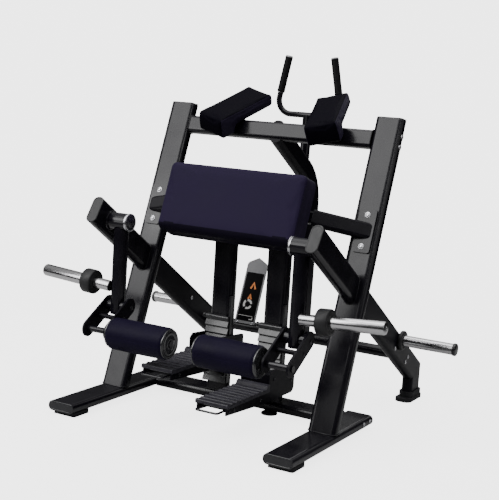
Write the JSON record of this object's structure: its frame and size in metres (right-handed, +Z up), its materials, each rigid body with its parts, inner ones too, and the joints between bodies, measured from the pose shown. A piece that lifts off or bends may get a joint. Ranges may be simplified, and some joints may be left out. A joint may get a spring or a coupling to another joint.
{
  "type": "standing leg curl machine",
  "caption": "Plate-loaded standing leg curl machine with swinging roller arms, hip pad, elbow pads, handles and height-adjustable foot plates.",
  "frame": {"origin": "middle of the footprint, on the floor", "axes": "+Z up, +X to the right of a user who faces the machine, +Y from the user towards the rear feet"},
  "size_m": [1.549, 1.3114, 1.4885],
  "materials": {
    "black_powder_coat": "gloss",
    "navy_vinyl": "satin",
    "chrome": "polished",
    "black_rubber": "matte",
    "ribbed_rubber": "matte",
    "grey_plate": "satin",
    "bronze": "satin"
  },
  "bodies": {
    "frame": {"floor_crossbeam": "black_powder_coat", "top_beam": "black_powder_coat", "rear_cross_tube": "black_powder_coat", "spine": "black_powder_coat", "placard_plate": "grey_plate", "hip_pad": "navy_vinyl", "pad_carrier": "black_powder_coat", "handlebar": "black_powder_coat", "left_foot_rail": "black_powder_coat", "left_front_foot": "black_rubber", "left_levelling_foot": "black_rubber", "left_upright": "black_powder_coat", "left_pivot_arm": "black_powder_coat", "left_rear_brace": "black_powder_coat", "left_rear_foot": "black_rubber", "left_post": "black_powder_coat", "left_rack": "black_powder_coat", "left_pad_arm": "black_powder_coat", "left_elbow_bracket": "black_powder_coat", "left_elbow_pad": "navy_vinyl", "left_grip": "black_rubber", "left_storage_horn": "chrome", "left_pivot_shaft": "black_powder_coat", "right_foot_rail": "black_powder_coat", "right_front_foot": "black_rubber", "right_levelling_foot": "black_rubber", "right_upright": "black_powder_coat", "right_pivot_arm": "black_powder_coat", "right_rear_brace": "black_powder_coat", "right_rear_foot": "black_rubber", "right_post": "black_powder_coat", "right_rack": "black_powder_coat", "right_pad_arm": "black_powder_coat", "right_elbow_bracket": "black_powder_coat", "right_elbow_pad": "navy_vinyl", "right_grip": "black_rubber", "right_storage_horn": "chrome", "right_pivot_shaft": "black_powder_coat"},
    "left_arm": {"left_pivot_bush": "bronze", "left_swing_arm": "black_powder_coat", "left_hub_cap": "black_powder_coat", "left_weight_horn": "chrome", "left_horn_collar": "black_rubber", "left_roller_bracket": "black_powder_coat", "left_roller_shaft": "chrome"},
    "left_roller": {"left_roller": "navy_vinyl"},
    "left_foot_plate": {"left_tread": "ribbed_rubber", "left_carriage": "black_powder_coat"},
    "left_release": {"left_release_lever": "black_powder_coat"},
    "right_arm": {"right_pivot_bush": "bronze", "right_swing_arm": "black_powder_coat", "right_hub_cap": "black_powder_coat", "right_weight_horn": "chrome", "right_horn_collar": "black_rubber", "right_roller_bracket": "black_powder_coat", "right_roller_shaft": "chrome"},
    "right_roller": {"right_roller": "navy_vinyl"},
    "right_foot_plate": {"right_tread": "ribbed_rubber", "right_carriage": "black_powder_coat"},
    "right_release": {"right_release_lever": "black_powder_coat"}
  },
  "joints": [
    {"name": "left_arm_swing", "type": "hinge", "parent": "frame", "child": "left_arm", "pos_m": [-0.41, -0.41775, 0.773], "axis": [-1, 0, 0], "range_deg": [0, 115]},
    {"name": "left_roller_spin", "type": "hinge", "parent": "left_arm", "child": "left_roller", "pos_m": [-0.202, -0.54175, 0.347], "axis": [1, 0, 0], "continuous": true},
    {"name": "left_foot_plate_slide", "type": "slide", "parent": "frame", "child": "left_foot_plate", "axis": [0, 0, 1], "range_m": [-0.12, 0.03]},
    {"name": "left_release_pull", "type": "hinge", "parent": "left_foot_plate", "child": "left_release", "pos_m": [-0.128, -0.50675, 0.215], "axis": [-1, 0, 0], "range_deg": [0, 12], "stiffness_Nm_per_rad": 0.6},
    {"name": "right_arm_swing", "type": "hinge", "parent": "frame", "child": "right_arm", "pos_m": [0.41, -0.41775, 0.773], "axis": [-1, 0, 0], "range_deg": [0, 115]},
    {"name": "right_roller_spin", "type": "hinge", "parent": "right_arm", "child": "right_roller", "pos_m": [0.202, -0.54175, 0.347], "axis": [1, 0, 0], "continuous": true},
    {"name": "right_foot_plate_slide", "type": "slide", "parent": "frame", "child": "right_foot_plate", "axis": [0, 0, 1], "range_m": [-0.03, 0.12]},
    {"name": "right_release_pull", "type": "hinge", "parent": "right_foot_plate", "child": "right_release", "pos_m": [0.128, -0.50675, 0.125], "axis": [-1, 0, 0], "range_deg": [0, 12], "stiffness_Nm_per_rad": 0.6}
  ]
}
